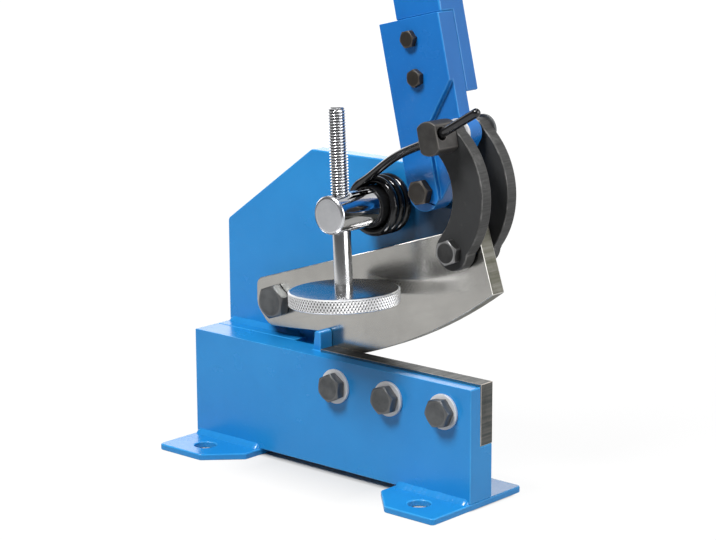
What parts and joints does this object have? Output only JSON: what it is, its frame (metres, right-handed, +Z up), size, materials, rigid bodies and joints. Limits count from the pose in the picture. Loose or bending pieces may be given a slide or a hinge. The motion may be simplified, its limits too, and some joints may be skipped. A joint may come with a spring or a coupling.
{
  "type": "bench lever shear",
  "caption": "Small bench shear: a lever with crescent links pulls a curved blade past a fixed one on a footed block, with a return spring and a screw clamp for the sheet.",
  "frame": {"origin": "middle of the four bench bolt holes, on the underside of the feet", "axes": "+X along the block towards the links, +Y to the back, +Z up"},
  "size_m": [0.1739, 0.0773, 0.4307],
  "materials": {
    "frame_paint": "glossy blue paint",
    "lever_paint": "glossy blue paint",
    "blade_steel": "ground",
    "black_bolt": "black oxide",
    "zinc": "bright zinc",
    "link_steel": "mill scale, flame-cut edges",
    "chrome": "turned and polished",
    "spring_steel": "blackened wire",
    "grip_rubber": "moulded"
  },
  "bodies": {
    "frame": {"front_plate": "frame_paint", "heel_spacer": "frame_paint", "upright_plate": "frame_paint", "foot_left": "frame_paint", "foot_right": "frame_paint", "lower_blade": "blade_steel", "lower_blade_bolts": "black_bolt", "lower_blade_washers": "zinc", "blade_pivot_bolt": "black_bolt", "blade_pivot_washer": "zinc", "blade_pivot_nut": "black_bolt", "lever_pivot_bolt": "black_bolt", "lever_pivot_washer": "zinc", "lever_pivot_nut": "black_bolt", "clamp_post": "chrome", "clamp_post_washer": "zinc", "clamp_post_nut": "zinc", "spring_bush": "black_bolt"},
    "lever": {"lever_bracket": "lever_paint", "handle_bar": "lever_paint", "handle_grip": "grip_rubber", "bracket_screws": "black_bolt", "bracket_nuts": "black_bolt"},
    "blade": {"upper_blade": "blade_steel"},
    "links": {"link_front": "link_steel", "link_rear": "link_steel", "link_bolt": "black_bolt", "link_washers": "zinc", "link_nut": "black_bolt"},
    "peg": {"anchor_peg": "black_bolt", "peg_clip": "black_bolt"},
    "spring": {"torsion_spring": "spring_steel"},
    "clamp": {"clamp_screw": "chrome", "clamp_disc": "chrome"}
  },
  "joints": [
    {"name": "lever_pivot", "type": "hinge", "parent": "frame", "child": "lever", "pos_m": [0.0458, 0.01225, 0.1321], "axis": [0, 1, 0], "range_deg": [0, 72], "stiffness_Nm_per_rad": 1.5, "springref_deg": -28.65},
    {"name": "blade_pivot", "type": "hinge", "parent": "frame", "child": "blade", "pos_m": [-0.0433, 0.01325, 0.0704], "axis": [0, 1, 0], "range_deg": [0, 17.2]},
    {"name": "link_pivot", "type": "hinge", "parent": "lever", "child": "links", "pos_m": [0.06346, 0.01325, 0.15876], "axis": [0, 1, 0], "range_deg": [-60.8, 0]},
    {"name": "peg_pivot", "type": "hinge", "parent": "lever", "child": "peg", "pos_m": [0.06346, 0.01325, 0.15876], "axis": [0, 1, 0], "range_deg": [-33.7, 0]},
    {"name": "spring_turn", "type": "hinge", "parent": "frame", "child": "spring", "pos_m": [0.0198, 0.00825, 0.1231], "axis": [0, 1, 0], "range_deg": [0, 38.4]},
    {"name": "clamp_travel", "type": "slide", "parent": "frame", "child": "clamp", "axis": [0.0454, 0, -0.999], "range_m": [-0.018, 0.025]}
  ],
  "couplings": [
    {"joint": "blade_pivot", "follows": "lever_pivot", "ratio": 0.23776},
    {"joint": "link_pivot", "follows": "lever_pivot", "ratio": -0.84435},
    {"joint": "peg_pivot", "follows": "lever_pivot", "ratio": -0.46787},
    {"joint": "spring_turn", "follows": "lever_pivot", "ratio": 0.53213}
  ]
}
